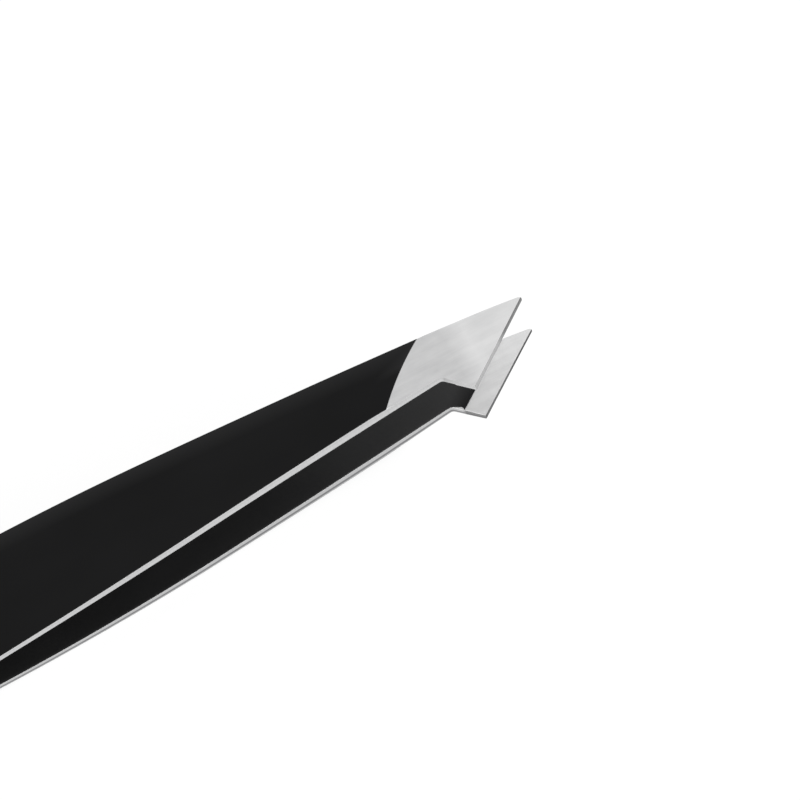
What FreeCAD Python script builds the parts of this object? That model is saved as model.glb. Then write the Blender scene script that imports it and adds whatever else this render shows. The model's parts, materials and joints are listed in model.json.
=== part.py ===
"""Slant tweezers: two bowed spring-steel arms, spot-welded face to face at the tail.

Frame, in millimetres: +X runs from the tail to the tips, +Y is the side of the sharp corners, and +Z is
up, from the lower arm to the upper. The tool is modelled first in the middle of its own frame, where z = 0
is the plane in which the two tips meet: the upper half is built, and the lower half is its mirror image.
Then it is laid down as it lies on a table, on the belly and the tail end of its lower arm, with z = 0 as
the table top and the origin below the middle of its bounding box.

The arms stand open. Squeezing them bends each strip just ahead of the weld. Each strip is divided there,
at the flex line, into a tail that stays with the weld and an arm that swings about the flex axis.
"""
import FreeCAD
import Part
import math
import os

Vector = FreeCAD.Vector

# Overall size
LENGTH = 95.0
HALF_WIDTH = 5.0
X_TAIL = -LENGTH / 2
X_TIP = LENGTH / 2

# Outline of an arm, seen from above
X_WIDEST = X_TIP - 62.2
TAIL_CORNER_R = 2.4
REAR_SIDE_R = 300.0
FRONT_SIDE_R = 380.0
X_TAPER = X_TIP - 32.8
X_EASE = X_TIP - 5.4
EASE_R = 80.0
NECK = (X_TIP - 8.94, -1.83)
NECK_R = 0.45
HEEL = (X_TIP - 6.90, -3.98)

# Side view of an arm: a flat tail, then arcs that bow it outwards, then the flat head
X_WELD_END = X_TAIL + 15.0
X_CREST = X_TIP - 26.8
CREST_HEIGHT = 2.61
BOW_R = 380.0
FRONT_BOW_R = 830.0
TAIL_THICKNESS = 0.60
HEAD_THICKNESS = 1.05
X_THICKEN_START = X_TIP - 54.0
X_THICKEN_END = X_TIP - 18.0

# Flex line
X_FLEX = X_TAIL + 27.0
FLEX_SLIT = 0.05

# Gripping lands: the two are this far apart when the arms are closed
LAND_WIDTH = 1.77
LAND_STEP = 0.10
LAND_CLEARANCE = 0.02

# Hollow grinding of the outside of each head
GRIND_EDGE_CENTRE = (X_TIP + 5.5, -19.8)
GRIND_EDGE_R = 26.2
GRIND_WHEEL_R = 300.0
X_RIDGE = X_TIP - 5.5
POINT_THICKNESS = 0.55

# Enamel film, on the outer faces and, from where the arms part, on the inner faces
FILM = 0.06
X_INNER_FILM = X_WELD_END + 5.0

# Spot welds
WELD_NUGGET_R = 1.3
WELD_NUGGET_DEPTH = 0.3
WELD_X = (X_TAIL + 4.5, X_TAIL + 10.5)
X_TAIL_MIDDLE = (X_TAIL + X_WELD_END) / 2

# Building blocks larger than the tool
REACH = 200.0
OVERRUN = 4.0
CURVE_POINTS = 25
BELLY_POINTS = 400


def circle_drop(distance, radius):
    """How far a circle falls below its crest at this distance from it."""
    return radius - math.sqrt(radius ** 2 - distance ** 2)


def rear_half_width(x):
    return HALF_WIDTH - circle_drop(x - X_WIDEST, REAR_SIDE_R)


def front_half_width(x):
    return HALF_WIDTH - circle_drop(x - X_WIDEST, FRONT_SIDE_R)


TAPER_HALF_WIDTH = front_half_width(X_TAPER)
TAPER_SLOPE = (X_TAPER - X_WIDEST) / math.sqrt(FRONT_SIDE_R ** 2 - (X_TAPER - X_WIDEST) ** 2)


def sharp_taper(x):
    """Half width on the sharp side, from the taper's start: straight, then easing inwards to the point."""
    eased = circle_drop(max(0.0, x - X_EASE), EASE_R)
    return TAPER_HALF_WIDTH - TAPER_SLOPE * (x - X_TAPER) - eased


POINT = (X_TIP, sharp_taper(X_TIP))
SLANT_ANGLE = math.atan2(POINT[1] - HEEL[1], POINT[0] - HEEL[0])

# The bow's rear arc is tangent to the flat tail and to the main arc
BOW_SLOPE = 2 * CREST_HEIGHT / (X_CREST - X_WELD_END)
X_BOW_JOIN = X_CREST - BOW_SLOPE * BOW_R
REAR_BOW_R = (X_BOW_JOIN - X_WELD_END) / BOW_SLOPE


def bow_height(x):
    """Height of an arm's inner face, from the weld to the neck."""
    if x <= X_WELD_END:
        return 0.0
    if x <= X_BOW_JOIN:
        return (x - X_WELD_END) ** 2 / (2 * REAR_BOW_R)
    if x <= X_CREST:
        return CREST_HEIGHT - (X_CREST - x) ** 2 / (2 * BOW_R)
    return CREST_HEIGHT - (x - X_CREST) ** 2 / (2 * FRONT_BOW_R)


def thickness(x):
    share = min(1.0, max(0.0, (x - X_THICKEN_START) / (X_THICKEN_END - X_THICKEN_START)))
    return TAIL_THICKNESS + share * (HEAD_THICKNESS - TAIL_THICKNESS)


# The heads are parallel when the arms are closed, so they open out by the closing angle at rest
NECK_HEIGHT = bow_height(NECK[0])
CLOSING_ANGLE = math.asin((NECK_HEIGHT - LAND_STEP - LAND_CLEARANCE / 2) / (NECK[0] - X_FLEX))
FLEX_HEIGHT = bow_height(X_FLEX) + thickness(X_FLEX) / 2
FLEX_AXIS_POINT = Vector(X_FLEX, 0, FLEX_HEIGHT)


def inner_height(x):
    if x <= NECK[0]:
        return bow_height(x)
    return NECK_HEIGHT + (x - NECK[0]) * math.tan(CLOSING_ANGLE)


def outer_height(x):
    return inner_height(x) + thickness(x)


# The table touches the lower arm at its tail end and its belly, where the line from the tail is steepest
TAIL_SKIN_HEIGHT = outer_height(X_TAIL) + FILM
BELLY_STATIONS = [X_TAIL + LENGTH * count / BELLY_POINTS for count in range(1, BELLY_POINTS + 1)]
RESTING_SLOPE = max(
    (outer_height(x) + FILM - TAIL_SKIN_HEIGHT) / (x - X_TAIL) for x in BELLY_STATIONS)
RESTING_ANGLE = math.atan(RESTING_SLOPE)
TAIL_EDGE = Vector(X_TAIL, 0, -TAIL_SKIN_HEIGHT)


def flat_point(place):
    return Vector(place[0], place[1], 0)


def rounded_corner(before, corner, after, radius):
    """Start, middle and end of the arc that rounds a corner between two straight lines."""
    to_before = (before - corner).normalize()
    to_after = (after - corner).normalize()
    half_angle = to_before.getAngle(to_after) / 2
    setback = radius / math.tan(half_angle)
    middle_way = (to_before + to_after).normalize()
    middle = corner + middle_way * (radius / math.sin(half_angle) - radius)
    return corner + to_before * setback, middle, corner + to_after * setback


def side_arc(x_from, x_to, half_width, side):
    x_mid = (x_from + x_to) / 2
    points = [Vector(x, side * half_width(x), 0) for x in (x_from, x_mid, x_to)]
    return Part.Arc(*points).toShape()


def outline_edges():
    """The edges of an arm's outline, round from the tail's end, along the sharp side, and back."""
    shoulder_x = X_TAIL + TAIL_CORNER_R
    shoulders = {side: Vector(shoulder_x, side * rear_half_width(shoulder_x), 0) for side in (1, -1)}
    corners = {side: Vector(X_TAIL, shoulders[side].y, 0) for side in (1, -1)}
    tail_arcs = {
        side: rounded_corner(shoulders[side], corners[side], corners[-side], TAIL_CORNER_R)
        for side in (1, -1)
    }
    neck_arc = rounded_corner(
        Vector(X_TAPER, -TAPER_HALF_WIDTH, 0), flat_point(NECK), flat_point(HEEL), NECK_R)
    upper_taper = Vector(X_TAPER, TAPER_HALF_WIDTH, 0)
    lower_taper = Vector(X_TAPER, -TAPER_HALF_WIDTH, 0)
    ease_start = Vector(X_EASE, sharp_taper(X_EASE), 0)
    return [
        Part.LineSegment(tail_arcs[-1][2], tail_arcs[1][2]).toShape(),
        Part.Arc(*reversed(tail_arcs[1])).toShape(),
        side_arc(shoulder_x, X_WIDEST, rear_half_width, 1),
        side_arc(X_WIDEST, X_TAPER, front_half_width, 1),
        Part.LineSegment(upper_taper, ease_start).toShape(),
        side_arc(X_EASE, X_TIP, sharp_taper, 1),
        Part.LineSegment(flat_point(POINT), flat_point(HEEL)).toShape(),
        Part.LineSegment(flat_point(HEEL), neck_arc[2]).toShape(),
        Part.Arc(*reversed(neck_arc)).toShape(),
        Part.LineSegment(neck_arc[0], lower_taper).toShape(),
        side_arc(X_TAPER, X_WIDEST, front_half_width, -1),
        side_arc(X_WIDEST, shoulder_x, rear_half_width, -1),
        Part.Arc(*tail_arcs[-1]).toShape(),
    ]


def outline_prism():
    """Everything inside the outline, through both arms."""
    wire = Part.Wire(Part.__sortEdges__(outline_edges()))
    face = Part.Face(wire)
    face.translate(Vector(0, 0, -REACH / 2))
    return face.extrude(Vector(0, 0, REACH))


def height_line(height, x_from, x_to):
    start = Vector(x_from, 0, height(x_from))
    end = Vector(x_to, 0, height(x_to))
    return Part.LineSegment(start, end).toShape()


def height_curve(height, x_from, x_to):
    step = (x_to - x_from) / (CURVE_POINTS - 1)
    places = [x_from + step * i for i in range(CURVE_POINTS)]
    curve = Part.BSplineCurve()
    curve.interpolate([Vector(x, 0, height(x)) for x in places])
    return curve.toShape()


def layer(bottom, top):
    """The solid between two heights, across the whole tool: flat tail, bowed stretch and flat head."""
    x_ends = (X_TAIL - OVERRUN, X_WELD_END, NECK[0], X_TIP + OVERRUN)

    def run(height):
        return [
            height_line(height, x_ends[0], x_ends[1]),
            height_curve(height, x_ends[1], x_ends[2]),
            height_line(height, x_ends[2], x_ends[3]),
        ]

    ends = [
        Part.LineSegment(Vector(x, 0, bottom(x)), Vector(x, 0, top(x))).toShape()
        for x in (x_ends[0], x_ends[3])
    ]
    wire = Part.Wire(Part.__sortEdges__(run(bottom) + run(top) + ends))
    face = Part.Face(wire)
    face.translate(Vector(0, -REACH / 2, 0))
    return face.extrude(Vector(0, REACH, 0))


def block(x_from, x_to):
    """A slab across the whole tool between two stations along it."""
    return Part.makeBox(x_to - x_from, REACH, REACH, Vector(x_from, -REACH / 2, -REACH / 2))


def beyond_land_edge(width):
    """Everything on the tip's side of a line parallel to the slanted edge and this far behind it."""
    box = Part.makeBox(REACH, REACH, REACH, Vector(-REACH / 2, -REACH, -REACH / 2))
    box.rotate(Vector(0, 0, 0), Vector(0, 0, 1), math.degrees(SLANT_ANGLE))
    inward = Vector(-math.sin(SLANT_ANGLE), math.cos(SLANT_ANGLE), 0) * width
    box.translate(flat_point(HEEL) + inward)
    return box


def opened(shape):
    """A shape placed for the closed upper arm, swung back to where the open arm has it."""
    shape.rotate(FLEX_AXIS_POINT, Vector(0, 1, 0), -math.degrees(CLOSING_ANGLE))
    return shape


def gripping_land(outline):
    """The raised strip along the slanted edge that meets the other tip."""
    depth = HEAD_THICKNESS / 4
    slab = Part.makeBox(REACH / 4, REACH, depth, Vector(0, -REACH / 2, LAND_CLEARANCE / 2))
    return outline.common(opened(slab)).common(beyond_land_edge(LAND_WIDTH))


def grinding_wheel():
    """The sphere that the head's outside is ground to. It meets the outer face on the enamel's edge."""
    centre_x, centre_y = GRIND_EDGE_CENTRE
    edge_x = centre_x - GRIND_EDGE_R * math.sin(SLANT_ANGLE)
    rise = math.sqrt(GRIND_WHEEL_R ** 2 - GRIND_EDGE_R ** 2)
    return Part.makeSphere(GRIND_WHEEL_R, Vector(centre_x, centre_y, outer_height(edge_x) + rise))


def ground_height(wheel, x, y):
    """Height of the ground surface above a point."""
    centre = wheel.Faces[0].Surface.Center
    reach = math.hypot(x - centre.x, y - centre.y)
    return centre.z - math.sqrt(GRIND_WHEEL_R ** 2 - reach ** 2)


def land_height(x):
    """Height of the gripping land in the open arm."""
    closed_z = LAND_CLEARANCE / 2 - FLEX_HEIGHT
    run = (x - X_FLEX) / math.cos(CLOSING_ANGLE)
    return FLEX_HEIGHT + run * math.sin(CLOSING_ANGLE) + closed_z / math.cos(CLOSING_ANGLE)


def point_facet(wheel):
    """The wedge that the last facet takes off, between the ridge across the head and the point."""
    y_high = sharp_taper(X_RIDGE)
    high = Vector(X_RIDGE, y_high, ground_height(wheel, X_RIDGE, y_high))
    low = Vector(X_RIDGE, HEEL[1], ground_height(wheel, X_RIDGE, HEEL[1]))
    point = Vector(POINT[0], POINT[1], land_height(POINT[0]) + POINT_THICKNESS)
    across = (high - low).normalize()
    normal = (point - low).cross(across).normalize()
    if normal.z < 0:
        normal = normal * -1
    along = across.cross(normal).normalize()
    if along.x < 0:
        along = along * -1
    corner = low - across * OVERRUN
    base = Part.Wire(Part.makePolygon([
        corner,
        corner + along * (2 * OVERRUN),
        corner + along * (2 * OVERRUN) + across * (3 * OVERRUN),
        corner + across * (3 * OVERRUN),
        corner,
    ]))
    return Part.Face(base).extrude(normal * OVERRUN)


def weld_nuggets():
    """The lens of melted steel at each spot weld, half in each tail."""
    return Part.makeCompound([
        Part.makeCylinder(WELD_NUGGET_R, 2 * WELD_NUGGET_DEPTH, Vector(x, 0, -WELD_NUGGET_DEPTH))
        for x in WELD_X
    ])


def mirrored(shape):
    return shape.mirror(Vector(0, 0, 0), Vector(0, 0, 1))


def laid_down(shape):
    """A shape of the modelled tool, where it is when the tool lies on the table by its tail's end."""
    shape.translate(TAIL_EDGE * -1)
    shape.rotate(Vector(0, 0, 0), Vector(0, 1, 0), -math.degrees(RESTING_ANGLE))
    return shape


def upper_parts():
    """Every piece of the upper half, by name."""
    outline = outline_prism()
    steel = outline.common(layer(inner_height, outer_height))
    wheel = grinding_wheel()
    tail_end = block(X_TAIL - OVERRUN, X_FLEX)
    swinging = block(X_FLEX + FLEX_SLIT, X_TIP + OVERRUN)

    arm = steel.common(swinging).fuse(gripping_land(outline))
    arm = arm.cut(wheel).cut(point_facet(wheel)).removeSplitter()
    tail = steel.common(tail_end).cut(weld_nuggets())

    outside = outline.common(layer(outer_height, lambda x: outer_height(x) + FILM))
    bare_head = Part.makeCylinder(
        GRIND_EDGE_R, REACH, Vector(GRIND_EDGE_CENTRE[0], GRIND_EDGE_CENTRE[1], -REACH / 2))
    inside = outline.common(layer(lambda x: inner_height(x) - FILM, inner_height))
    bare_land = beyond_land_edge(LAND_WIDTH + FILM)

    return {
        "arm": arm,
        "arm_tail": tail,
        "outer_enamel": outside.common(swinging).cut(bare_head),
        "tail_enamel": outside.common(tail_end),
        "inner_enamel": inside.common(swinging).cut(bare_land),
        "tail_inner_enamel": inside.common(block(X_INNER_FILM, X_FLEX)),
    }


def all_parts():
    """Every piece of the tool, by name, in the middle of the tool's own frame."""
    parts = {}
    for name, shape in upper_parts().items():
        parts[f"upper_{name}"] = shape
        parts[f"lower_{name}"] = mirrored(shape)
    parts["weld_nuggets"] = weld_nuggets()
    return parts


def save(name, shape):
    solids = shape.Solids
    whole = solids[0] if len(solids) == 1 else Part.makeCompound(solids)
    whole.exportStep(f"parts/{name}.step")
    box = whole.optimalBoundingBox(False, False)
    print(f"{name:22s} solids {len(solids)} valid {whole.isValid()} volume {whole.Volume:9.3f} "
          f"x {box.XMin:7.2f} {box.XMax:7.2f} y {box.YMin:6.2f} {box.YMax:6.2f} "
          f"z {box.ZMin:6.3f} {box.ZMax:6.3f}")


def show_place(name, place, centre_x):
    marker = laid_down(Part.Vertex(place)).Point
    print(f"{name}: x {marker.x - centre_x:.4f} y {marker.y:.4f} z {marker.z:.4f}")


def main():
    os.makedirs("parts", exist_ok=True)
    parts = {name: laid_down(shape) for name, shape in all_parts().items()}
    box = Part.makeCompound(list(parts.values())).optimalBoundingBox(False, False)
    centre_x = (box.XMin + box.XMax) / 2
    for name, shape in parts.items():
        shape.translate(Vector(-centre_x, 0, 0))
        save(name, shape)

    print(f"resting angle {math.degrees(RESTING_ANGLE):.4f} degrees")
    print(f"closing angle {math.degrees(CLOSING_ANGLE):.4f} degrees")
    show_place("upper flex axis", FLEX_AXIS_POINT, centre_x)
    show_place("lower flex axis", Vector(X_FLEX, 0, -FLEX_HEIGHT), centre_x)
    show_place("tail's upper face", Vector(X_TAIL_MIDDLE, 0, TAIL_SKIN_HEIGHT), centre_x)
    show_place("tail's lower face", Vector(X_TAIL_MIDDLE, 0, -TAIL_SKIN_HEIGHT), centre_x)
    print(f"bounding box {box.XLength:.3f} x {box.YLength:.3f} x {box.ZLength:.3f}")


main()
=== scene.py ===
"""Looks of the slant tweezers: two steel strips, their enamel films, the welds, the table and the light.

Shapes are worked out in millimetres in the tool's own frame: +X runs from the tail to the tips, +Y is the
side of the sharp corners, and z = 0 is the plane where the tips meet. The upper half is built, and the lower
half is its mirror image. ROW_MATRIX then puts each mesh where the CAD frame has the tool, in metres.
"""

import json
import math

import bpy
import numpy as np
from mathutils import Matrix, Vector


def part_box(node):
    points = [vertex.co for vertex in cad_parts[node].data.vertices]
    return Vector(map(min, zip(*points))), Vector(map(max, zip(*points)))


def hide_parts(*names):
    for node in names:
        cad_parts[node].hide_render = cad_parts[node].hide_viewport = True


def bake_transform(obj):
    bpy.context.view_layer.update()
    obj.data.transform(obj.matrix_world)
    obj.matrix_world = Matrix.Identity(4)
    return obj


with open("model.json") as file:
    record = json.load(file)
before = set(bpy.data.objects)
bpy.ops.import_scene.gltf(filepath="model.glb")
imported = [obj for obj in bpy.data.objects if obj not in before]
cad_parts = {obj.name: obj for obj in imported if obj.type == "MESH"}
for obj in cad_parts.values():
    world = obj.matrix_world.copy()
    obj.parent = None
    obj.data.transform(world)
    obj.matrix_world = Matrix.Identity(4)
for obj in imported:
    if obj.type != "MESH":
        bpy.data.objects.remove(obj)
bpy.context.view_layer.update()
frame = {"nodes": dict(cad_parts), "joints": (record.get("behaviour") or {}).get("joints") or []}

MM = 0.001

# Overall size
LENGTH = 95.0
HALF_WIDTH = 5.0
X_TAIL = -LENGTH / 2
X_TIP = LENGTH / 2

# Outline of an arm, seen from above
X_WIDEST = X_TIP - 62.2
TAIL_CORNER_R = 2.4
REAR_SIDE_R = 300.0
FRONT_SIDE_R = 380.0
X_TAPER = X_TIP - 32.8
X_EASE = X_TIP - 5.4
EASE_R = 80.0
X_BLUNT = X_TIP - 0.45
BLUNT_R = 0.5
NECK = (X_TIP - 8.94, -1.83)
NECK_R = 0.45
HEEL = (X_TIP - 6.90, -3.98)

# Side view of an arm: a flat tail, arcs that bow it outwards, and a flat head beyond the bend at the neck
X_WELD_END = X_TAIL + 15.0
X_FLEX = X_TAIL + 27.0
X_CREST = X_TIP - 26.8
CREST_HEIGHT = 2.61
BOW_R = 380.0
FRONT_BOW_R = 830.0
NECK_BEND = 1.2
TAIL_THICKNESS = 0.60
HEAD_THICKNESS = 1.05
X_THICKEN_START = X_TIP - 54.0
X_THICKEN_END = X_TIP - 18.0

# Head: gripping land, hollow grinding, the facet at the point, and the bevel of the slanted end
LAND_WIDTH = 1.77
LAND_STEP = 0.10
LAND_EDGE = 0.05
LAND_CLEARANCE = 0.02
GRIND_EDGE_CENTRE = (X_TIP + 5.5, -19.8)
GRIND_EDGE_R = 26.2
GRIND_EDGE_BLEND = 0.01
GRIND_WHEEL_R = 300.0
X_RIDGE = X_TIP - 5.5
RIDGE_BLEND = 0.04
FACET_LIFT = 0.1
POINT_THICKNESS = 0.55
END_BEVEL = 0.07

# Rounded arrises, and the distance over which they fade out on the ground head
ARRIS_R = 0.035
ARRIS_FADE = 0.4

# Enamel: its thickness, its rounded edge, and where it stops short of the steel's edges
FILM = 0.06
FILM_EDGE = 0.07
FILM_INSET = 0.005
FILM_SINK = 0.008
FILM_START = X_WELD_END + 5.0
HEEL_BARE = 0.30
CORNER_POOL = 0.22

# Marks that the spot welds leave on the outer faces
WELD_X = (X_TAIL + 4.5, X_TAIL + 10.5)
WELD_MARK_R = 1.5
WELD_MARK_SPREAD = 1.3
WELD_MARK_DEPTH = 0.025

# Mesh fineness. Columns run across the strip, square-on at the tail and parallel to the slanted end at the
# tip. EDGE_STEPS are shares of a rounded edge.
BODY_STEP = 0.9
HEAD_STEP = 0.11
FILM_HEAD_STEP = 2 * HEAD_STEP
ROWS = 44
EDGE_STEPS = (0.0, 0.08, 0.3, 0.6, 1.0)
ARRIS_ROWS_WIDTH = 1.1 * ARRIS_R
FILM_EDGE_COLUMNS_WIDTH = 1.6 * FILM_EDGE
TAIL_CORNER_COLUMNS = 14
TAIL_CORNER_FIRST = math.radians(18)
TURN_START = X_TIP - 22.0
TURN_COLUMNS = 44
TURN_EASING = 0.35
SLANT_START = 5.5
LAND_EDGE_STEPS = (1.0, 0.5, 0.25, 0.0, -0.25, -0.5, -1.0)
END_BEVEL_COLUMNS = 3
BISECTIONS = 50
RIM_TOLERANCE = 0.000001
SHARP_ANGLE = math.radians(50)

# Colours. A pair is the darkest and the lightest place of one finish.
DULL_STEEL = ((0.68, 0.68, 0.685), (0.81, 0.81, 0.812))
# The lighter steel is a painted highlight, laid along the ridge of the head.
HIGHLIGHT_STEEL = ((0.87, 0.87, 0.872), (0.97, 0.97, 0.97))
CUT_STEEL = ((0.50, 0.50, 0.505), (0.63, 0.63, 0.632))
TORN_STEEL = (0.15, 0.15, 0.155)
# Painted shade on the heel side's wall along the land.
SHADED_HEEL_STEEL = (0.10, 0.10, 0.103)
LAND_STEEL = ((0.76, 0.76, 0.762), (0.91, 0.91, 0.91))
WELD_STEEL = ((0.34, 0.34, 0.36), (0.56, 0.55, 0.53))
SATIN_BLACK = ((0.0032, 0.0032, 0.0034), (0.0050, 0.0050, 0.0053))
# The outer black lightened with painted light, by the sharp side's rim.
LIT_RIM_BLACK = (0.018, 0.018, 0.0184)
CHIPPED_BLACK = (0.10, 0.10, 0.10)
# The inner coat, and the same coat greyed by painted light that reaches into the gap towards the neck.
DARK_COAT = ((0.0070, 0.0070, 0.0072), (0.0115, 0.0115, 0.0118))
GAP_LIT_COAT = ((0.030, 0.030, 0.0305), (0.039, 0.039, 0.0395))
ACRYLIC = ((0.14, 0.14, 0.14), (0.18, 0.18, 0.18))

# Places where the finish and the painted light and shade change, in millimetres. A pair is where a change
# starts and ends. HEEL_SHADE is measured along the tool from the land's corner at the heel, and the reach of
# the inner coat's painted shade is measured from the land.
X_RIDGE_HIGHLIGHT_START = X_TIP - 7.2
PAST_RIDGE = 1.2
WORN_WIDTH = 0.12
HEEL_SHADE = (-0.15, 0.05)
HEEL_SIDE_Y = (-1.0, 0.0)
END_SHADE_Y = (-1.5, -0.8)
SHARP_SIDE_Y = (0.0, 0.5)
LIT_RIM_WIDTH = 1.6
CHIPPED_WIDTH = 0.05
X_GAP_LIGHT_STARTS = X_TIP - 26.0
LAND_SHADE_REACH = (0.2, 1.6)

# Shares: the painted highlight lost past the ridge, how far the stone's scratches vary a tone, and where the
# torn band of a side wall starts, is full, fades and ends between the inner face and the outer
PAST_RIDGE_HIGHLIGHT_LOSS = 0.18
STONE_SPREAD = 0.18
TORN_BAND = (0.46, 0.56, 0.80, 0.90)

# The side walls and slanted ends: how pale the cut steel is, the strength of its shear line and of the
# painted shade at its heel, then the tone of the slanted end at the heel and at the point. The lower half's
# darker walls and heel, and the dark slanted ends of both halves, are painted shade.
WALLS = {
    "upper": {"pale": 1.0, "shear": 0.1, "painted_heel_shade": 0.0, "end_tones": (0.42, 0.18)},
    "lower": {"pale": 0.88, "shear": 0.9, "painted_heel_shade": 0.8, "end_tones": (0.09, 0.03)},
}

# The range that noise mostly keeps to
NOISE_LOW = 0.3
NOISE_HIGH = 0.7

# Table and light
TABLE_HALF_SIZE = 15000.0
TABLE_GLOW = 0.88
WORLD_GREY = 0.9
WORLD_STRENGTH = 0.86
SOFTBOX_PLACE = (60, -450, 140)
SOFTBOX_TARGET = (30, 0, 0)
SOFTBOX_WIDTH = 900
SOFTBOX_HEIGHT = 420
SOFTBOX_POWER = 2.4

# Camera. The clips are in metres, as Blender has them.
VIEW_DIRECTION = Vector((0.064, 0.451, -0.890))
AXIS_ANGLE = math.radians(28.3)
VIEW_WIDTH = 63.4
VIEW_DISTANCE = 420.0
SENSOR = 36.0
CLIP_START = 0.01
CLIP_END = 20.0
AIM = Vector((X_TIP - 12.61, -1.87, 3.05))


def circle_drop(distance, radius):
    """How far a circle falls below its crest at this distance from it."""
    return radius - np.sqrt(radius ** 2 - distance ** 2)


TAPER_HALF_WIDTH = HALF_WIDTH - circle_drop(X_TAPER - X_WIDEST, FRONT_SIDE_R)
TAPER_SLOPE = (X_TAPER - X_WIDEST) / math.sqrt(FRONT_SIDE_R ** 2 - (X_TAPER - X_WIDEST) ** 2)
POINT = (X_TIP, TAPER_HALF_WIDTH - TAPER_SLOPE * (X_TIP - X_TAPER) - circle_drop(X_TIP - X_EASE, EASE_R))
SLANT = math.atan2(POINT[1] - HEEL[1], POINT[0] - HEEL[0])
BOW_SLOPE = 2 * CREST_HEIGHT / (X_CREST - X_WELD_END)
X_BOW_JOIN = X_CREST - BOW_SLOPE * BOW_R
REAR_BOW_R = (X_BOW_JOIN - X_WELD_END) / BOW_SLOPE


def smooth_min(a, b, width):
    return (a + b - np.sqrt((a - b) ** 2 + width ** 2)) / 2


def smooth_step(value):
    value = np.clip(value, 0.0, 1.0)
    return value * value * (3 - 2 * value)


# ---------------------------------------------------------------- outline

def sharp_side(x):
    """The outline on the side of the sharp corner, whose very point is blunted."""
    shoulder = X_TAIL + TAIL_CORNER_R
    shoulder_y = HALF_WIDTH - circle_drop(shoulder - X_WIDEST, REAR_SIDE_R)
    if x < shoulder:
        return shoulder_y - circle_drop(shoulder - x, TAIL_CORNER_R)
    if x < X_WIDEST:
        return HALF_WIDTH - circle_drop(x - X_WIDEST, REAR_SIDE_R)
    if x < X_TAPER:
        return HALF_WIDTH - circle_drop(x - X_WIDEST, FRONT_SIDE_R)
    eased = circle_drop(max(0.0, x - X_EASE), EASE_R)
    blunted = circle_drop(max(0.0, x - X_BLUNT), BLUNT_R)
    return TAPER_HALF_WIDTH - TAPER_SLOPE * (x - X_TAPER) - eased - blunted


def heel_side(x):
    """The outline on the side of the heel: it narrows to the neck, then flares out to the heel."""
    if x < X_TAPER:
        return -sharp_side(x)
    rise = (NECK[1] + TAPER_HALF_WIDTH) / (NECK[0] - X_TAPER)
    fall = (HEEL[1] - NECK[1]) / (HEEL[0] - NECK[0])
    half_turn = (math.atan(rise) - math.atan(fall)) / 2
    middle = (math.atan(rise) + math.atan(fall)) / 2
    to_centre = NECK_R / math.cos(half_turn)
    centre_x = NECK[0] + to_centre * math.sin(middle)
    centre_y = NECK[1] - to_centre * math.cos(middle)
    arc_start = centre_x - NECK_R * math.sin(math.atan(rise))
    arc_end = centre_x - NECK_R * math.sin(math.atan(fall))
    if x < arc_start:
        return NECK[1] - rise * (NECK[0] - x)
    if x > arc_end:
        return NECK[1] + fall * (x - NECK[0])
    return centre_y + math.sqrt(NECK_R ** 2 - (x - centre_x) ** 2)


def behind_slant(x, y):
    """Distance behind the slanted edge."""
    return (y - HEEL[1]) * math.cos(SLANT) - (x - HEEL[0]) * math.sin(SLANT)


def crossing(side, measure, wanted, low, high):
    """Where, between two stations, a measure of the outline's point passes a wanted value."""
    for _ in range(BISECTIONS):
        middle = (low + high) / 2
        if (measure(middle, side(middle)) - wanted) * (measure(low, side(low)) - wanted) > 0:
            low = middle
        else:
            high = middle
    return low


def slanted_pair(distance):
    """Where the line parallel to the slanted edge, this far behind it, meets the two sides."""
    x_heel = crossing(heel_side, behind_slant, distance, X_THICKEN_START, HEEL[0])
    x_sharp = crossing(sharp_side, behind_slant, distance, X_THICKEN_START, X_TIP)
    return x_heel, x_sharp


X_LAND_HEEL = slanted_pair(LAND_WIDTH)[0]


# ---------------------------------------------------------------- heights

def bow_height(x):
    """Height of the inner face, from the tail to the neck."""
    rear = (x - X_WELD_END) ** 2 / (2 * REAR_BOW_R)
    main_arc = CREST_HEIGHT - (X_CREST - x) ** 2 / (2 * BOW_R)
    front = CREST_HEIGHT - (x - X_CREST) ** 2 / (2 * FRONT_BOW_R)
    return np.select([x <= X_WELD_END, x <= X_BOW_JOIN, x <= X_CREST], [0.0 * x, rear, main_arc], front)


NECK_HEIGHT = float(bow_height(np.array(NECK[0])))
CLOSING_ANGLE = math.asin((NECK_HEIGHT - LAND_STEP - LAND_CLEARANCE / 2) / (NECK[0] - X_FLEX))


def inner_face(x):
    """Height of the inner face. The head is set in line with the other head's when the arms are closed."""
    head = NECK_HEIGHT + (x - NECK[0]) * math.tan(CLOSING_ANGLE)
    share = smooth_step((x - NECK[0]) / NECK_BEND + 0.5)
    return bow_height(x) + share * (head - bow_height(x))


def outer_face(x):
    share = np.clip((x - X_THICKEN_START) / (X_THICKEN_END - X_THICKEN_START), 0, 1)
    return inner_face(x) + TAIL_THICKNESS + share * (HEAD_THICKNESS - TAIL_THICKNESS)


def wheel_face(x, y):
    """The hollow that the wheel grinds in the outside of the head. Far from it, the height is held."""
    centre_x, centre_y = GRIND_EDGE_CENTRE
    edge_x = np.array(centre_x - GRIND_EDGE_R * math.sin(SLANT))
    centre_z = outer_face(edge_x) + math.sqrt(GRIND_WHEEL_R ** 2 - GRIND_EDGE_R ** 2)
    reach = (x - centre_x) ** 2 + (y - centre_y) ** 2
    return centre_z - np.sqrt(GRIND_WHEEL_R ** 2 - np.minimum(reach, (GRIND_WHEEL_R / 2) ** 2))


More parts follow.
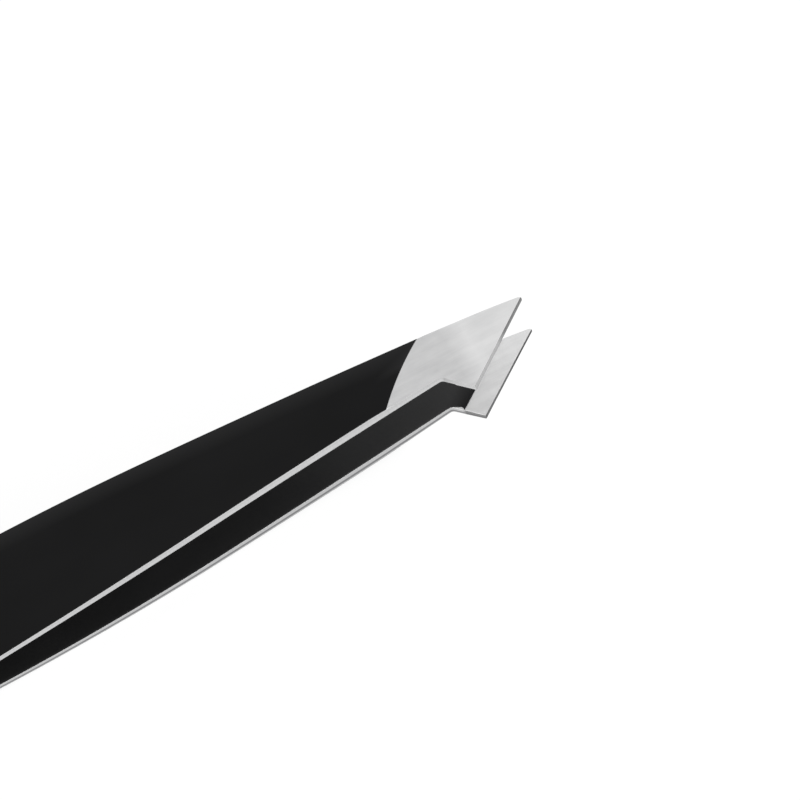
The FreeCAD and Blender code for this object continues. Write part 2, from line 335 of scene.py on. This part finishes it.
def point_face(x, y):
    """The last facet, a plane through the ridge's ends and the point. Behind the ridge it lifts clear."""
    high_y = sharp_side(X_RIDGE)
    high = Vector((X_RIDGE, high_y, wheel_face(X_RIDGE, high_y)))
    low = Vector((X_RIDGE, HEEL[1], wheel_face(X_RIDGE, HEEL[1])))
    tip_height = float(inner_face(np.array(X_TIP))) - LAND_STEP + POINT_THICKNESS
    tip = Vector((*POINT, tip_height))
    normal = (high - low).cross(tip - low)
    lift = FACET_LIFT * np.maximum(0.0, X_RIDGE - x) ** 2
    return low.z - (normal.x * (x - low.x) + normal.y * (y - low.y)) / normal.z + lift


def steel_top(x, y):
    """Outer surface of the bare strip, before its arrises are rounded."""
    height = smooth_min(outer_face(x), wheel_face(x, y), GRIND_EDGE_BLEND)
    height = np.where(x > X_THICKEN_END, height, outer_face(x))
    height = smooth_min(height, point_face(x, y), RIDGE_BLEND)
    for mark_x in WELD_X:
        share = smooth_step(WELD_MARK_SPREAD - np.hypot(x - mark_x, y) / WELD_MARK_R)
        height = height - WELD_MARK_DEPTH * share
    return height


def steel_bottom(x, y):
    """Inner surface of the bare strip: the gripping land stands proud along the slanted edge."""
    step = smooth_step((LAND_WIDTH + LAND_EDGE / 2 - behind_slant(x, y)) / LAND_EDGE)
    return inner_face(x) - LAND_STEP * step


# ---------------------------------------------------------------- plan grids

def spaced(start, end, step):
    count = max(2, math.ceil(abs(end - start) / step) + 1)
    return list(np.linspace(start, end, count))


def row_shares(width, inset):
    """Shares across a plate of this width, with rows close together beside both edges."""
    near = [inset + ARRIS_ROWS_WIDTH * step for step in EDGE_STEPS]
    middle = list(np.linspace(near[-1], width - near[-1], ROWS))[1:-1]
    rows = near + middle + [width - place for place in reversed(near)]
    return [row / width for row in rows]


def grid_column(x_heel, x_sharp, inset, bare=0.0):
    """Plan points on the line between the outline's sides. It stops short of the heel side by bare."""
    heel = np.array((x_heel, heel_side(x_heel)))
    sharp = np.array((x_sharp, sharp_side(x_sharp)))
    heel = heel + (sharp - heel) * bare / np.linalg.norm(sharp - heel)
    shares = np.array(row_shares(np.linalg.norm(sharp - heel), inset))[:, None]
    return heel + shares * (sharp - heel)


def bare_heel(x_heel):
    """How far the inner film stays back from the heel's wall. A little pools in the corner at the land."""
    away = HEEL_BARE * smooth_step((x_heel - NECK[0]) / (X_LAND_HEEL - NECK[0]))
    return float(away * smooth_step((X_LAND_HEEL - x_heel) / CORNER_POOL))


def body_pairs(x_start):
    """Stations of the square-on columns, closer together round the tail's corners."""
    if x_start > X_TAIL:
        return [(x, x) for x in spaced(x_start, TURN_START, BODY_STEP)]
    ends = [X_TAIL + ARRIS_R * step for step in EDGE_STEPS]
    angles = np.linspace(TAIL_CORNER_FIRST, math.pi / 2, TAIL_CORNER_COLUMNS)
    corner = [X_TAIL + TAIL_CORNER_R * (1 - math.cos(angle)) for angle in angles]
    straight = spaced(X_TAIL + TAIL_CORNER_R, TURN_START, BODY_STEP)[1:]
    return [(x, x) for x in ends + corner + straight]


def turning_pairs(last_pair):
    """Columns that turn from square-on to the last pair."""
    pairs = []
    for share in np.linspace(0, 1, TURN_COLUMNS + 1)[1:]:
        eased = share * (2 - share) * TURN_EASING + share * (1 - TURN_EASING)
        pairs.append(tuple(TURN_START + eased * (last - TURN_START) for last in last_pair))
    return pairs


def steel_grid():
    """The whole strip, from the tail's end to the slanted edge."""
    land_edge = [LAND_WIDTH + LAND_EDGE * share for share in LAND_EDGE_STEPS]
    behind = spaced(SLANT_START, land_edge[0] + HEAD_STEP, HEAD_STEP)[1:]
    land = spaced(land_edge[-1] - HEAD_STEP, END_BEVEL + HEAD_STEP, HEAD_STEP)
    end = spaced(END_BEVEL, 0.0, END_BEVEL / END_BEVEL_COLUMNS)
    pairs = body_pairs(X_TAIL) + turning_pairs(slanted_pair(SLANT_START))
    pairs += [slanted_pair(distance) for distance in behind + land_edge + land + end]
    return np.array([grid_column(heel, sharp, 0.0) for heel, sharp in pairs])


def outer_film_grid():
    """From the tail's end to the curved edge where the grinding begins."""
    def from_centre(x, y):
        return math.hypot(x - GRIND_EDGE_CENTRE[0], y - GRIND_EDGE_CENTRE[1])

    last = tuple(crossing(side, from_centre, GRIND_EDGE_R, X_THICKEN_START, X_RIDGE)
                 for side in (heel_side, sharp_side))
    straight = grid_column(*last, FILM_INSET)
    centre = np.array(GRIND_EDGE_CENTRE)
    spokes = straight - centre
    arc = centre + GRIND_EDGE_R * spokes / np.linalg.norm(spokes, axis=1)[:, None]
    arc_bulge = arc - straight
    columns = [grid_column(*pair, FILM_INSET) for pair in body_pairs(X_TAIL)]
    columns[0][:, 0] += FILM_INSET
    for index, pair in enumerate(turning_pairs(last)):
        share = smooth_step((index + 1) / TURN_COLUMNS)
        columns.append(grid_column(*pair, FILM_INSET) + arc_bulge * share)
    before, final = columns[-2], columns[-1]
    gap = np.linalg.norm(final - before, axis=1)[:, None]
    edge = [final + (before - final) / gap * FILM_EDGE * step for step in reversed(EDGE_STEPS[1:])]
    return np.array(columns[:-1] + edge + [final])


def inner_film_grid():
    """From the fork, where the two arms part, to the gripping land."""
    stop = LAND_WIDTH + LAND_EDGE
    distances = spaced(SLANT_START, stop + FILM_EDGE_COLUMNS_WIDTH, FILM_HEAD_STEP)[1:]
    distances += [stop + FILM_EDGE * step for step in reversed(EDGE_STEPS)]
    starts = [(x, x) for x in (FILM_START + FILM_EDGE * step for step in EDGE_STEPS[:-1])]
    pairs = starts + body_pairs(FILM_START + FILM_EDGE) + turning_pairs(slanted_pair(SLANT_START))
    pairs += [slanted_pair(distance) for distance in distances]
    return np.array([grid_column(heel, sharp, FILM_INSET, bare_heel(heel)) for heel, sharp in pairs])


def edge_distance(grid):
    """Distance of every grid point from the grid's own outline."""
    loop = np.concatenate([grid[0], grid[1:, -1], grid[-1, -2::-1], grid[-2:0:-1, 0]])
    along = np.roll(loop, -1, axis=0) - loop
    length2 = np.maximum((along ** 2).sum(1), 1e-12)
    points = grid.reshape(-1, 2)
    nearest = np.full(len(points), np.inf)
    for start, run, run2 in zip(loop, along, length2):
        share = np.clip(((points - start) @ run) / run2, 0, 1)
        gap = points - start - share[:, None] * run
        nearest = np.minimum(nearest, (gap ** 2).sum(1))
    return np.sqrt(nearest).reshape(grid.shape[:2])


# ---------------------------------------------------------------- meshes

def rounding(distance, radius):
    """How far a rounded edge of this radius falls at a distance from the edge."""
    inside = np.clip(radius - distance, 0, radius)
    return radius - np.sqrt(radius ** 2 - inside ** 2)


def row_matrix():
    """From the tool's frame, in millimetres, to the row frame, in metres. The CAD's flex axes place it."""
    places = {joint["name"]: Vector(joint["pos_m"]) for joint in frame["joints"]}
    upper = places["upper_arm_flex"]
    lower = places["lower_arm_flex"]
    up = (upper - lower).normalized()
    across = Vector((0, 1, 0))
    turn = Matrix((across.cross(up), across, up)).transposed()
    middle = (upper + lower) / 2
    shift = middle - turn @ Vector((X_FLEX * MM, 0, 0))
    return Matrix.Translation(shift) @ turn.to_4x4() @ Matrix.Scale(MM, 4)


ROW_MATRIX = row_matrix()


def grid_faces(columns, rows, side, bevelled):
    """The faces of a closed plate, by the surface they are on. The last few columns may be an end bevel."""
    half = columns * rows
    outer, walls, slanted_end, inner = [], [], [], []
    for i in range(columns - 1):
        a = i * rows
        b = a + rows
        top_faces = outer if i < columns - 1 - bevelled else slanted_end
        for j in range(rows - 1):
            top_faces.append((a + j, b + j, b + j + 1, a + j + 1))
            inner.append((half + a + j, half + a + j + 1, half + b + j + 1, half + b + j))
        walls.append((a, half + a, half + b, b))
        walls.append((a + rows - 1, b + rows - 1, half + b + rows - 1, half + a + rows - 1))
    last = half - rows
    for j in range(rows - 1):
        walls.append((j, j + 1, half + j + 1, half + j))
        slanted_end.append((last + j, half + last + j, half + last + j + 1, last + j + 1))
    surfaces = (outer, walls, slanted_end, inner)
    if side < 0:
        surfaces = [[face[::-1] for face in faces] for faces in surfaces]
    return surfaces


def plate(name, grid, top, bottom, side, materials, bevelled=0):
    """A closed plate between two heights over a plan grid. side is 1 for the upper half, -1 for the lower.

    The materials are for its outer face, its side walls, its slanted end and its inner face, or one for all.
    """
    columns, rows = grid.shape[:2]
    x, y = grid[:, :, 0], grid[:, :, 1]
    edge = edge_distance(grid)
    tops = np.stack([x, y, side * top(x, y, edge)], axis=2)
    bottoms = np.stack([x, y, side * bottom(x, y, edge)], axis=2)
    vertices = np.concatenate([tops.reshape(-1, 3), bottoms.reshape(-1, 3)])
    surfaces = grid_faces(columns, rows, side, bevelled)

    mesh = bpy.data.meshes.new(name)
    mesh.from_pydata(vertices.tolist(), [], [face for faces in surfaces for face in faces])
    for material in materials:
        mesh.materials.append(material)
    slots = [min(number, len(materials) - 1) for number, faces in enumerate(surfaces) for _ in faces]
    mesh.polygons.foreach_set("material_index", slots)
    add_attributes(mesh, vertices, edge)
    mesh.transform(ROW_MATRIX)
    mesh.shade_smooth()
    mesh.set_sharp_from_angle(angle=SHARP_ANGLE)
    sharpen_rims(mesh, edge)
    mesh.update()
    piece = bpy.data.objects.new(name, mesh)
    bpy.context.scene.collection.objects.link(piece)
    weighted_normals = piece.modifiers.new("even_shading", "WEIGHTED_NORMAL")
    weighted_normals.keep_sharp = True
    return piece


def sharpen_rims(mesh, edge):
    """The side walls are shaded apart from the faces that they meet, rounded arris or not."""
    half = edge.size
    ends = np.empty(2 * len(mesh.edges), dtype=np.int32)
    mesh.edges.foreach_get("vertices", ends)
    first, second = ends[0::2], ends[1::2]
    on_rim = np.tile(edge.ravel() < RIM_TOLERANCE, 2)
    along_rim = on_rim[first] & on_rim[second] & ((first < half) == (second < half))
    for index in np.flatnonzero(along_rim):
        mesh.edges[int(index)].use_edge_sharp = True


def add_attributes(mesh, vertices, edge):
    """What the materials read: place on the tool, distance from the edge, which face, and the grain."""
    place = mesh.attributes.new("place_mm", "FLOAT_VECTOR", "POINT")
    place.data.foreach_set("vector", vertices.astype(np.float32).ravel())
    rim = mesh.attributes.new("rim_mm", "FLOAT", "POINT")
    rim.data.foreach_set("value", np.tile(edge.ravel(), 2).astype(np.float32))
    outside = mesh.attributes.new("outside", "FLOAT", "POINT")
    outside.data.foreach_set("value", np.repeat([1.0, 0.0], edge.size).astype(np.float32))
    grain = mesh.uv_layers.new(name="grain")
    corners = np.empty(len(mesh.loops), dtype=np.int32)
    mesh.loops.foreach_get("vertex_index", corners)
    x, y, z = vertices[corners].T
    uv = np.stack([x / LENGTH + 0.5, (y + z) / LENGTH + 0.5], axis=1)
    grain.data.foreach_set("uv", uv.astype(np.float32).ravel())


def steel_strip(name, side, grid, materials):
    def top(x, y, edge):
        """The arrises are rounded, but left sharp on the ground head. The slanted end's is bevelled."""
        ground = GRIND_EDGE_R - np.hypot(x - GRIND_EDGE_CENTRE[0], y - GRIND_EDGE_CENTRE[1])
        bevel = np.maximum(0.0, END_BEVEL - behind_slant(x, y))
        return steel_top(x, y) - bevel - rounding(edge, ARRIS_R * smooth_step(1 - ground / ARRIS_FADE))

    def bottom(x, y, edge):
        """The arrises are rounded, but left sharp along the slanted end."""
        return steel_bottom(x, y) + rounding(edge, ARRIS_R * smooth_step(behind_slant(x, y) / ARRIS_FADE))

    return plate(name, grid, top, bottom, side, materials, END_BEVEL_COLUMNS)


def film_depth(edge):
    """Thickness of a film, which rounds off to nothing at its edge."""
    return FILM * np.sqrt(np.clip(1 - (1 - np.clip(edge / FILM_EDGE, 0, 1)) ** 2, 0, 1))


def outer_film(name, side, grid, materials):
    def bottom(x, y, edge):
        return steel_top(x, y) - rounding(edge + FILM_INSET, ARRIS_R) - FILM_SINK

    def top(x, y, edge):
        return bottom(x, y, edge) + FILM_SINK + film_depth(edge)

    return plate(name, grid, top, bottom, side, materials)


def inner_film(name, side, grid, materials):
    def top(x, y, edge):
        return inner_face(x) + rounding(edge + FILM_INSET, ARRIS_R) + FILM_SINK

    def bottom(x, y, edge):
        return top(x, y, edge) - FILM_SINK - film_depth(edge)

    return plate(name, grid, top, bottom, side, materials)


# ---------------------------------------------------------------- shader nodes

def new_material(name):
    material = bpy.data.materials.new(name)
    material.use_nodes = True
    tree = material.node_tree
    return material, tree, tree.nodes["Principled BSDF"]


def attribute(tree, name, output):
    node = tree.nodes.new("ShaderNodeAttribute")
    node.attribute_name = name
    return node.outputs[output]


def noise(tree, place, size, detail=3.0, roughness=0.5):
    """Noise whose grains have this size along each axis, in the units of the place."""
    mapping = tree.nodes.new("ShaderNodeMapping")
    mapping.inputs["Scale"].default_value = [1 / length for length in size]
    tree.links.new(place, mapping.inputs["Vector"])
    texture = tree.nodes.new("ShaderNodeTexNoise")
    texture.inputs["Scale"].default_value = 1.0
    texture.inputs["Detail"].default_value = detail
    texture.inputs["Roughness"].default_value = roughness
    tree.links.new(mapping.outputs["Vector"], texture.inputs["Vector"])
    return texture.outputs["Fac"]


def ramp(tree, value, from_low, from_high, to_low, to_high):
    node = tree.nodes.new("ShaderNodeMapRange")
    node.clamp = True
    numbers = {"From Min": from_low, "From Max": from_high, "To Min": to_low, "To Max": to_high}
    for socket, number in numbers.items():
        node.inputs[socket].default_value = number
    tree.links.new(value, node.inputs["Value"])
    return node.outputs["Result"]


def spread(tree, value, low, high):
    """A noise's usual range, stretched over another."""
    return ramp(tree, value, NOISE_LOW, NOISE_HIGH, low, high)


def calculate(tree, operation, a, b):
    node = tree.nodes.new("ShaderNodeMath")
    node.operation = operation
    for socket, value in zip(node.inputs, (a, b)):
        if isinstance(value, (int, float)):
            socket.default_value = value
        else:
            tree.links.new(value, socket)
    return node.outputs["Value"]


def average(tree, a, b, share_of_b):
    parts = (calculate(tree, "MULTIPLY", a, 1 - share_of_b), calculate(tree, "MULTIPLY", b, share_of_b))
    return calculate(tree, "ADD", *parts)


def blend_colours(tree, share, low, high):
    """From one colour to another. Each is a tuple or another node's output."""
    node = tree.nodes.new("ShaderNodeMix")
    node.data_type = "RGBA"
    tree.links.new(share, node.inputs["Factor"])
    for socket, colour in ((node.inputs[6], low), (node.inputs[7], high)):
        if isinstance(colour, tuple):
            socket.default_value = (*colour, 1.0)
        else:
            tree.links.new(colour, socket)
    return node.outputs[2]


def add_bump(tree, shader, height, distance):
    node = tree.nodes.new("ShaderNodeBump")
    node.inputs["Distance"].default_value = distance
    node.inputs["Strength"].default_value = 1.0
    tree.links.new(height, node.inputs["Height"])
    tree.links.new(node.outputs["Normal"], shader.inputs["Normal"])


def along_the_grain(tree, shader, amount):
    shader.inputs["Anisotropic"].default_value = amount
    tangent = tree.nodes.new("ShaderNodeTangent")
    tangent.direction_type = "UV_MAP"
    tangent.uv_map = "grain"
    tree.links.new(tangent.outputs["Tangent"], shader.inputs["Tangent"])


def axis_place(tree, place):
    """Place along each axis of the tool, in millimetres."""
    split = tree.nodes.new("ShaderNodeSeparateXYZ")
    tree.links.new(place, split.inputs["Vector"])
    return split.outputs


def land_distance(tree, place):
    """Distance behind the gripping land, in millimetres."""
    across = tree.nodes.new("ShaderNodeVectorMath")
    across.operation = "DOT_PRODUCT"
    across.inputs[1].default_value = (-math.sin(SLANT), math.cos(SLANT), 0.0)
    tree.links.new(place, across.inputs[0])
    land_end = -HEEL[0] * math.sin(SLANT) + HEEL[1] * math.cos(SLANT) + LAND_WIDTH
    return calculate(tree, "SUBTRACT", across.outputs["Value"], land_end)


def steel_grain(tree, place):
    """Streaks along the tool, from fine and coarse scratches."""
    fine = noise(tree, place, (6.0, 0.09, 0.09), detail=2.0)
    coarse = noise(tree, place, (8.0, 0.5, 0.5), detail=3.0)
    return average(tree, fine, coarse, 0.7)


# ---------------------------------------------------------------- materials

def brushed_steel():
    """Ground stainless steel: grained along the tool, with a painted highlight brightest at the ridge,
    smoothest at its rim.
    """
    material, tree, shader = new_material("brushed_steel")
    place = attribute(tree, "place_mm", "Vector")
    rim = attribute(tree, "rim_mm", "Fac")
    grain = steel_grain(tree, place)
    clouds = noise(tree, place, (2.8, 1.5, 1.5), detail=3.0, roughness=0.6)
    tone = average(tree, grain, clouds, 0.55)
    x = axis_place(tree, place)["X"]
    # Painted highlight: the steel lightens towards the ridge and loses a little of it past the ridge.
    ridge_highlight = ramp(tree, x, X_RIDGE_HIGHLIGHT_START, X_RIDGE, 0.0, 1.0)
    past_ridge = ramp(tree, x, X_RIDGE, X_RIDGE + PAST_RIDGE, 0.0, PAST_RIDGE_HIGHLIGHT_LOSS)
    ridge_highlight = calculate(tree, "SUBTRACT", ridge_highlight, past_ridge)
    lightness = ramp(tree, tone, 0.35, 0.65, 0.0, 1.0)
    dull = blend_colours(tree, lightness, *DULL_STEEL)
    highlighted = blend_colours(tree, lightness, *HIGHLIGHT_STEEL)
    tree.links.new(blend_colours(tree, ridge_highlight, dull, highlighted), shader.inputs["Base Color"])
    worn = ramp(tree, rim, 0.0, WORN_WIDTH, 0.08, 0.0)
    roughness = calculate(tree, "SUBTRACT", spread(tree, tone, 0.28, 0.40), worn)
    tree.links.new(roughness, shader.inputs["Roughness"])
    shader.inputs["Metallic"].default_value = 1.0
    along_the_grain(tree, shader, 0.45)
    add_bump(tree, shader, grain, 0.0000025)
    return material


def cut_edge(name, pale, shear, painted_heel_shade):
    """The blanked side walls: smooth and pale, with a dark shear line of this strength and painted shade at
    the heel.
    """
    material, tree, shader = new_material(name)
    place = attribute(tree, "place_mm", "Vector")
    outside = attribute(tree, "outside", "Fac")
    grain = steel_grain(tree, place)
    marks = noise(tree, place, (0.12, 0.5, 0.8), detail=3.0)
    tone = average(tree, grain, marks, 0.5)
    # A pale below one darkens the whole wall with painted shade.
    dark, light = (tuple(pale * channel for channel in colour) for colour in CUT_STEEL)
    grey = blend_colours(tree, spread(tree, tone, 0.0, 1.0), dark, light)
    starts, full, fades, ends = TORN_BAND
    torn = ramp(tree, outside, starts, full, 0.0, shear)
    torn = calculate(tree, "MULTIPLY", torn, ramp(tree, outside, fades, ends, 1.0, 0.0))
    grey = blend_colours(tree, torn, grey, TORN_STEEL)
    # Painted shade on the heel side's wall, from the land's heel corner on towards the point.
    at_land = [X_LAND_HEEL + offset for offset in HEEL_SHADE]
    heel = ramp(tree, axis_place(tree, place)["X"], *at_land, 0.0, painted_heel_shade)
    heel_half = ramp(tree, axis_place(tree, place)["Y"], *HEEL_SIDE_Y, 1.0, 0.0)
    heel = calculate(tree, "MULTIPLY", heel, heel_half)
    grey = blend_colours(tree, heel, grey, SHADED_HEEL_STEEL)
    tree.links.new(grey, shader.inputs["Base Color"])
    tree.links.new(spread(tree, tone, 0.26, 0.38), shader.inputs["Roughness"])
    shader.inputs["Metallic"].default_value = 1.0
    add_bump(tree, shader, tone, 0.000003)
    return material


def shaded_slanted_end(name, heel_tone, point_tone):
    """The slanted end wall, scratched across by a stone, and darkened with painted shade to its tones at the
    heel and at the point.
    """
    material, tree, shader = new_material(name)
    place = attribute(tree, "place_mm", "Vector")
    scratches = noise(tree, place, (0.10, 0.10, 0.8), detail=2.0)
    heel_end, point_end = (
        blend_colours(tree, scratches, ((1 - STONE_SPREAD) * tone,) * 3, ((1 + STONE_SPREAD) * tone,) * 3)
        for tone in (heel_tone, point_tone))
    # Painted shade: darker towards the point than at the heel.
    near_point = ramp(tree, axis_place(tree, place)["Y"], *END_SHADE_Y, 0.0, 1.0)
    tree.links.new(blend_colours(tree, near_point, heel_end, point_end), shader.inputs["Base Color"])
    tree.links.new(spread(tree, scratches, 0.40, 0.52), shader.inputs["Roughness"])
    shader.inputs["Metallic"].default_value = 1.0
    add_bump(tree, shader, scratches, 0.000003)
    return material


def gripping_land():
    """The inside of the strip, ground pale and satin so that it holds a hair."""
    material, tree, shader = new_material("gripping_land")
    place = attribute(tree, "place_mm", "Vector")
    grain = steel_grain(tree, place)
    clouds = noise(tree, place, (1.6, 0.9, 0.9), detail=3.0)
    tone = average(tree, grain, clouds, 0.5)
    grey = blend_colours(tree, spread(tree, tone, 0.0, 1.0), *LAND_STEEL)
    tree.links.new(grey, shader.inputs["Base Color"])
    tree.links.new(spread(tree, tone, 0.50, 0.62), shader.inputs["Roughness"])
    shader.inputs["Metallic"].default_value = 0.35
    along_the_grain(tree, shader, 0.6)
    add_bump(tree, shader, grain, 0.000003)
    return material


def satin_enamel():
    """Satin black on the outer faces: uneven in gloss, lighter with painted light by the sharp side's rim,
    chipped at its rim.
    """
    material, tree, shader = new_material("satin_enamel")
    place = attribute(tree, "place_mm", "Vector")
    rim = attribute(tree, "rim_mm", "Fac")
    peel = noise(tree, place, (0.5, 0.4, 0.4), detail=2.0)
    drift = noise(tree, place, (11.0, 5.0, 5.0), detail=2.0)
    chips = noise(tree, place, (0.35, 0.25, 0.25), detail=4.0)
    black = blend_colours(tree, spread(tree, drift, 0.0, 1.0), *SATIN_BLACK)
    # Painted light: the black is lighter near its rim on the sharp side.
    sharp_half = ramp(tree, axis_place(tree, place)["Y"], *SHARP_SIDE_Y, 0.0, 0.8)
    lit_rim = calculate(tree, "MULTIPLY", sharp_half, ramp(tree, rim, 0.0, LIT_RIM_WIDTH, 1.0, 0.0))
    black = blend_colours(tree, lit_rim, black, LIT_RIM_BLACK)
    at_rim = ramp(tree, rim, 0.0, CHIPPED_WIDTH, 0.35, 0.0)
    chipped = calculate(tree, "MULTIPLY", at_rim, ramp(tree, chips, 0.50, 0.68, 0.0, 1.0))
    black = blend_colours(tree, chipped, black, CHIPPED_BLACK)
    tree.links.new(black, shader.inputs["Base Color"])
    tree.links.new(spread(tree, drift, 0.30, 0.40), shader.inputs["Roughness"])
    shader.inputs["Specular IOR Level"].default_value = 0.13
    add_bump(tree, shader, peel, 0.0000035)
    return material


def matt_enamel():
    """The coat on the inner faces: matt, greyed by painted light towards the neck, kept dark by painted
    shade near the land.
    """
    material, tree, shader = new_material("matt_enamel")
    place = attribute(tree, "place_mm", "Vector")
    speckle = noise(tree, place, (0.25, 0.2, 0.2), detail=4.0)
    drift = noise(tree, place, (9.0, 4.0, 4.0), detail=2.0)
    tone = spread(tree, average(tree, speckle, drift, 0.6), 0.0, 1.0)
    dark_coat = blend_colours(tree, tone, *DARK_COAT)
    gap_lit_coat = blend_colours(tree, tone, *GAP_LIT_COAT)
    # Painted light greys the coat towards the neck, and painted shade keeps it dark close to the land.
    gap_light = ramp(tree, axis_place(tree, place)["X"], X_GAP_LIGHT_STARTS, NECK[0], 0.0, 1.0)
    clear_of_land = ramp(tree, land_distance(tree, place), *LAND_SHADE_REACH, 0.0, 1.0)
    black = blend_colours(tree, calculate(tree, "MULTIPLY", gap_light, clear_of_land), dark_coat, gap_lit_coat)
    tree.links.new(black, shader.inputs["Base Color"])
    tree.links.new(ramp(tree, tone, 0.0, 1.0, 0.52, 0.66), shader.inputs["Roughness"])
    shader.inputs["Specular IOR Level"].default_value = 0.20
    add_bump(tree, shader, speckle, 0.000004)
    return material


def weld_steel():
    """Melted and frozen steel: dull, coarse and slightly blued."""
    material, tree, shader = new_material("weld_steel")
    coordinates = tree.nodes.new("ShaderNodeTexCoord")
    in_millimetres = tree.nodes.new("ShaderNodeVectorMath")
    in_millimetres.operation = "SCALE"
    in_millimetres.inputs["Scale"].default_value = 1 / MM
    tree.links.new(coordinates.outputs["Object"], in_millimetres.inputs[0])
    grain = noise(tree, in_millimetres.outputs["Vector"], (0.3, 0.3, 0.3), detail=4.0)
    tree.links.new(blend_colours(tree, grain, *WELD_STEEL), shader.inputs["Base Color"])
    tree.links.new(spread(tree, grain, 0.45, 0.65), shader.inputs["Roughness"])
    shader.inputs["Metallic"].default_value = 1.0
    add_bump(tree, shader, grain, 0.00002)
    return material


def light_table():
    """A plain white table of lit acrylic, so the tool throws almost no shadow on it."""
    material, tree, shader = new_material("light_table")
    coordinates = tree.nodes.new("ShaderNodeTexCoord")
    mottle = tree.nodes.new("ShaderNodeTexNoise")
    mottle.inputs["Scale"].default_value = 40.0
    tree.links.new(coordinates.outputs["Object"], mottle.inputs["Vector"])
    pale = blend_colours(tree, mottle.outputs["Fac"], *ACRYLIC)
    tree.links.new(pale, shader.inputs["Base Color"])
    shader.inputs["Roughness"].default_value = 0.9
    shader.inputs["Specular IOR Level"].default_value = 0.1
    shader.inputs["Emission Color"].default_value = (1.0, 1.0, 1.0, 1.0)
    shader.inputs["Emission Strength"].default_value = TABLE_GLOW
    return material


# ---------------------------------------------------------------- assembly

def row_point(x, y, z):
    return ROW_MATRIX @ Vector((x, y, z))


def bend_with(piece):
    """Bakes the piece's transform into its mesh. The strip is not bent here."""
    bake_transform(piece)


def build_arm(half, side, grids, materials):
    arm = f"{half}_arm"
    strip = steel_strip(f"{arm}_strip", side, grids["steel"], materials["steel"])
    outside = outer_film(f"{arm}_outside_film", side, grids["outer"], materials["outer"])
    inside = inner_film(f"{arm}_inside_film", side, grids["inner"], materials["inner"])
    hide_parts(f"{half}_arm", f"{half}_arm_tail")
    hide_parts(f"{half}_outer_enamel", f"{half}_tail_enamel")
    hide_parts(f"{half}_inner_enamel", f"{half}_tail_inner_enamel")
    for piece, slot in ((strip, "steel"), (outside, "enamel"), (inside, "enamel")):
        bend_with(piece)


def build_arms():
    face, land = brushed_steel(), gripping_land()
    materials = {"outer": [satin_enamel()], "inner": [matt_enamel()]}
    grids = {"steel": steel_grid(), "outer": outer_film_grid(), "inner": inner_film_grid()}
    for half, side in (("upper", 1), ("lower", -1)):
        look = WALLS[half]
        walls = cut_edge(f"{half}_cut_edge", look["pale"], look["shear"], look["painted_heel_shade"])
        slanted_end = shaded_slanted_end(f"{half}_shaded_slanted_end", *look["end_tones"])
        materials["steel"] = [face, walls, slanted_end, land]
        build_arm(half, side, grids, materials)


def paint_slots(node, material):
    """A CAD node keeps its mesh, so its own slots get the material."""
    for material_slot in node.material_slots:
        material_slot.link = "OBJECT"
        material_slot.material = material


def build_table():
    size = TABLE_HALF_SIZE * MM
    low = min(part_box("lower_outer_enamel")[0].z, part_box("lower_tail_enamel")[0].z)
    mesh = bpy.data.meshes.new("table")
    corners = [(-size, -size, low), (size, -size, low), (size, size, low), (-size, size, low)]
    mesh.from_pydata(corners, [], [(0, 1, 2, 3)])
    table = bpy.data.objects.new("table", mesh)
    bpy.context.scene.collection.objects.link(table)
    mesh.materials.append(light_table())


def add_softbox():
    data = bpy.data.lights.new("front_softbox", "AREA")
    data.shape = "RECTANGLE"
    data.size = SOFTBOX_WIDTH * MM
    data.size_y = SOFTBOX_HEIGHT * MM
    data.energy = SOFTBOX_POWER
    light = bpy.data.objects.new("front_softbox", data)
    light.location = row_point(*SOFTBOX_PLACE)
    aim = row_point(*SOFTBOX_TARGET) - light.location
    light.rotation_euler = aim.to_track_quat("-Z", "Y").to_euler()
    bpy.context.scene.collection.objects.link(light)


def light_the_scene():
    """An even pale world, which the polished steel mirrors, and one soft box in front."""
    world = bpy.data.worlds.new("studio")
    world.use_nodes = True
    background = world.node_tree.nodes["Background"]
    background.inputs["Color"].default_value = (WORLD_GREY, WORLD_GREY, WORLD_GREY, 1.0)
    background.inputs["Strength"].default_value = WORLD_STRENGTH
    bpy.context.scene.world = world
    add_softbox()
    bpy.context.scene.view_settings.view_transform = "Standard"
    bpy.context.scene.view_settings.look = "None"


def aim_camera():
    """A long lens, nearly square to the upper arm's face, with the tool rising to the right."""
    turn = ROW_MATRIX.to_3x3().normalized()
    forward = (turn @ VIEW_DIRECTION).normalized()
    axis = turn @ Vector((1, 0, 0))
    along = (axis - forward * axis.dot(forward)).normalized()
    beside = (-forward).cross(along)
    right = along * math.cos(AXIS_ANGLE) - beside * math.sin(AXIS_ANGLE)
    up = along * math.sin(AXIS_ANGLE) + beside * math.cos(AXIS_ANGLE)
    data = bpy.data.cameras.new("camera")
    data.sensor_width = SENSOR
    data.lens = SENSOR * VIEW_DISTANCE / VIEW_WIDTH
    data.clip_start = CLIP_START
    data.clip_end = CLIP_END
    camera = bpy.data.objects.new("camera", data)
    place = row_point(*AIM) - forward * VIEW_DISTANCE * MM
    camera.matrix_world = Matrix.Translation(place) @ Matrix((right, up, -forward)).transposed().to_4x4()
    bpy.context.scene.collection.objects.link(camera)
    bpy.context.scene.camera = camera


build_arms()
paint_slots(frame["nodes"]["weld_nuggets"], weld_steel())
build_table()
light_the_scene()
aim_camera()
